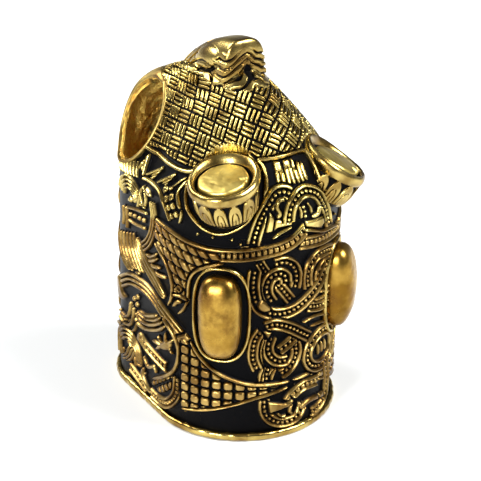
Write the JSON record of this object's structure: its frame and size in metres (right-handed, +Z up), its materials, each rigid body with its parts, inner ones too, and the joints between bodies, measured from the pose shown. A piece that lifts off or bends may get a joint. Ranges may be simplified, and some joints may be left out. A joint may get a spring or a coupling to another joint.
{
  "type": "thimble",
  "caption": "Cast brass thimble shaped like an upright animal-head mount, with a woven hood, two round ears, oval bosses and side openings.",
  "frame": {"origin": "under the middle of the thimble, on the surface that its mouth rests on", "axes": "+Z up from the mouth to the snout, -Y the front with the ears and ovals, +X across the thimble"},
  "size_m": [0.0194, 0.0244, 0.0374],
  "materials": {
    "antiqued_brass": "relief polished gold, recesses patinated near black",
    "polished_brass": "hand polished"
  },
  "bodies": {
    "root": {"barrel": "antiqued_brass", "rim_band": "polished_brass", "hood": "antiqued_brass", "snout": "antiqued_brass", "brow_frame": "polished_brass", "ear_cup_left": "antiqued_brass", "ear_cup_right": "antiqued_brass", "ear_disc_left": "polished_brass", "ear_disc_right": "polished_brass", "ear_collar_left": "antiqued_brass", "ear_collar_right": "antiqued_brass", "oval_boss_left": "polished_brass", "oval_boss_right": "polished_brass", "oval_collar_left": "antiqued_brass", "oval_collar_right": "antiqued_brass", "window_lip_left": "polished_brass", "window_lip_right": "polished_brass"}
  },
  "joints": []
}
